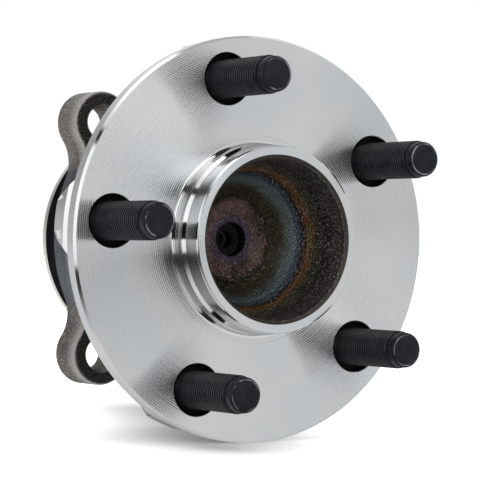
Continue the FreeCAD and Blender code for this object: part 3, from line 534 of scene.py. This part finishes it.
def drift(tree, shader, tint, colours, wear, roughness):
    """Base colour between two colours by the tint, and roughness between two values by the wear."""
    first, second = colours
    tree.links.new(blend(tree, tint, (*first, 1.0), (*second, 1.0)), shader.inputs["Base Color"])
    tree.links.new(grade(tree, wear, 0.0, 1.0, *roughness), shader.inputs["Roughness"])


BLACK = ((0.0035, 0.0055, 0.0075), (0.007, 0.009, 0.012))
drift(tree, shader, skin["Patch"], BLACK, skin["Patch"], (0.36, 0.46))

worn_edge, tree, shader = material("worn_edge", Metallic=0.9)
skin = use_effect(tree, forged_skin, Grain=3000.0, Blotch=160.0).outputs
BARE = ((0.012, 0.014, 0.016), (0.260, 0.270, 0.285))
drift(tree, shader, grade(tree, skin["Patch"], 0.35, 0.9), BARE, skin["Patch"], (0.45, 0.28))

rubbed_crest, tree, shader = material("rubbed_crest", Specular_IOR_Level=0.4)
skin = use_effect(tree, forged_skin, Grain=2500.0, Blotch=300.0).outputs
RUBBED = ((0.014, 0.017, 0.020), (0.045, 0.050, 0.056))
drift(tree, shader, skin["Patch"], RUBBED, skin["Speck"], (0.42, 0.30))


def threaded(crest, root, first, last, steps=48):
    """A rolled thread between two distances along Y: a run of flanks turned once with a pitch of climb."""
    shape = bmesh.new()
    turns = int((last - first) / PITCH) + 3
    points = []
    for n in range(turns):
        start = first - 1.5 * PITCH + n * PITCH
        for part, r in ((0.0, root), (0.08, root), (0.44, crest), (0.64, crest)):
            points.append(shape.verts.new((r * MM, (start + part * PITCH) * MM, 0.0)))
    for one, following in zip(points, points[1:]):
        shape.edges.new((one, following))
    bmesh.ops.spin(
        shape, geom=shape.verts[:] + shape.edges[:], cent=(0.0, 0.0, 0.0), axis=(0.0, 1.0, 0.0),
        dvec=(0.0, PITCH * MM / steps, 0.0), angle=math.tau, steps=steps,
    )
    bmesh.ops.remove_doubles(shape, verts=shape.verts, dist=1e-6)
    for level, side in ((first, -1.0), (last, 1.0)):
        bmesh.ops.bisect_plane(
            shape, geom=shape.verts[:] + shape.edges[:] + shape.faces[:],
            plane_co=(0.0, level * MM, 0.0), plane_no=(0.0, side, 0.0), clear_outer=True,
        )
    rims = [edge for edge in shape.edges if edge.is_boundary]
    bmesh.ops.holes_fill(shape, edges=rims, sides=0)
    bmesh.ops.recalc_face_normals(shape, faces=shape.faces)
    return shape


CREST, ROOT, LEAD = 6.96, 6.04, 6.45
THREAD_START, THREAD_END = -30.2, 2.6
RUN_OUT = -29.9
BARE_RING, BARE_DEPTH = 5.3, -33.6
RUBBED_FROM, RUBBED_TO = 6.9, 7.1
WORN, SCUFFED = 1, 2
stud_body = [
    (0.0, 20.9), (11.0, 20.9), (11.0, 17.52), (7.5, 17.52), (7.5, 3.0), (6.0, 2.0), (6.0, -29.0),
    (LEAD, -29.8), (LEAD, -33.8), (0.0, -33.8),
]
for number, angle in enumerate(STUD_ANGLES, start=1):
    thread = threaded(CREST, ROOT, THREAD_START, THREAD_END)
    for vert in thread.verts:
        most = (LEAD + max(0.0, vert.co.y / MM - RUN_OUT) * 1.2) * MM
        out = math.hypot(vert.co.x, vert.co.z)
        if out > most:
            vert.co.x *= most / out
            vert.co.z *= most / out
    stud = joined([spun(stud_body, [(1, 0.7, 2), (8, 1.1, 4)], 64), thread])
    for face in stud.faces:
        middle = face.calc_center_median()
        out = math.hypot(middle.x, middle.z)
        if middle.y < BARE_DEPTH * MM and out > BARE_RING * MM:
            face.material_index = WORN
        elif RUBBED_FROM * MM < out < RUBBED_TO * MM and middle.y < 0.0:
            face.material_index = SCUFFED
    place = (STUD_CIRCLE * math.cos(angle) * MM, 0.0, STUD_CIRCLE * math.sin(angle) * MM)
    bmesh.ops.translate(stud, vec=place, verts=stud.verts)
    stud_piece = mesh_piece(f"stud_{number}", stud, [black_stud, worn_edge, rubbed_crest], "hub_set", 40.0)
    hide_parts(f"wheel_stud_{number}")

# Ball sets: two rows of fourteen lapped steel balls, each row clipped into a moulded nylon cage that spaces
# them. They roll between the races of the hub, the inner ring and the outer ring.
ball_steel, tree, shader = material("ball_steel", Metallic=1.0)
haze = add(tree, "ShaderNodeTexNoise", Scale=700.0, Detail=2.0).outputs["Fac"]
drift(tree, shader, haze, ((0.76, 0.77, 0.79), (0.84, 0.84, 0.85)), haze, (0.05, 0.11))

cage_nylon, tree, shader = material("cage_nylon", Specular_IOR_Level=0.4)
fibre = add(tree, "ShaderNodeTexNoise", Scale=1800.0, Detail=4.0, Distortion=1.5).outputs["Fac"]
drift(tree, shader, fibre, ((0.10, 0.075, 0.050), (0.17, 0.125, 0.080)), fibre, (0.38, 0.56))
bumps = add(tree, "ShaderNodeBump", Height=fibre, Strength=0.2, Distance=0.00005)
tree.links.new(bumps.outputs["Normal"], shader.inputs["Normal"])
for row in ("outboard", "inboard"):
    dress(f"{row}_cage", cage_nylon)
    for number in range(1, 15):
        dress(f"{row}_ball_{number:02d}", ball_steel)

# Inner ring: through-hardened bearing steel, ground on the race, shoulder and bore, pressed on the spindle
# against its step and held by the spindle's rolled rim.
ground_steel, tree, shader = material("ground_steel", Metallic=1.0, Anisotropic=0.5)
lines = use_effect(tree, turned_lines, Pitch=0.00012).outputs
drift(tree, shader, lines["Shade"], ((0.56, 0.56, 0.57), (0.66, 0.66, 0.67)), lines["Height"], (0.14, 0.26))
dress("inner_ring", ground_steel)

# Seals: at each end a pressed sheet steel case with bonded rubber lips. The inboard lips run on a stainless
# slinger on the inner ring, which also carries the wheel speed sensor's ring of magnetic rubber.
pressed_sheet, tree, shader = material("pressed_sheet", Metallic=1.0)
lines = use_effect(tree, turned_lines, Pitch=0.0004).outputs
drift(tree, shader, lines["Shade"], ((0.44, 0.44, 0.45), (0.54, 0.54, 0.55)), lines["Shade"], (0.28, 0.42))

stainless_sheet, tree, shader = material("stainless_sheet", Metallic=1.0)
lines = use_effect(tree, turned_lines, Pitch=0.0003).outputs
drift(tree, shader, lines["Shade"], ((0.60, 0.60, 0.60), (0.70, 0.69, 0.68)), lines["Shade"], (0.18, 0.30))

seal_rubber, tree, shader = material("seal_rubber", Specular_IOR_Level=0.35)
dust = add(tree, "ShaderNodeTexNoise", Scale=400.0, Detail=5.0).outputs["Fac"]
drift(tree, shader, dust, ((0.018, 0.018, 0.018), (0.040, 0.040, 0.040)), dust, (0.55, 0.75))

magnet_rubber, tree, shader = material("magnet_rubber", Specular_IOR_Level=0.4)
filler = add(tree, "ShaderNodeTexNoise", Scale=2500.0, Detail=3.0).outputs["Fac"]
drift(tree, shader, filler, ((0.035, 0.031, 0.028), (0.070, 0.063, 0.056)), filler, (0.42, 0.60))
for side in ("outboard", "inboard"):
    dress(f"{side}_seal_case", pressed_sheet)
    dress(f"{side}_seal_lip", seal_rubber)
dress("seal_slinger", stainless_sheet)
dress("encoder_ring", magnet_rubber)

# End cap: a deep-drawn, zinc-plated sheet steel cap, pressed over the end of the outer ring to keep dirt
# and water out of the inboard side.
plated_sheet, tree, shader = material("plated_sheet", Metallic=1.0)
place = add(tree, "ShaderNodeTexCoord").outputs["Object"]
spangle = add(tree, "ShaderNodeTexVoronoi", Vector=place, Scale=260.0).outputs["Distance"]
lines = use_effect(tree, turned_lines, Pitch=0.0005).outputs
drift(tree, shader, lines["Shade"], ((0.58, 0.57, 0.53), (0.72, 0.71, 0.68)), spangle, (0.24, 0.38))
dress("end_cap", plated_sheet)
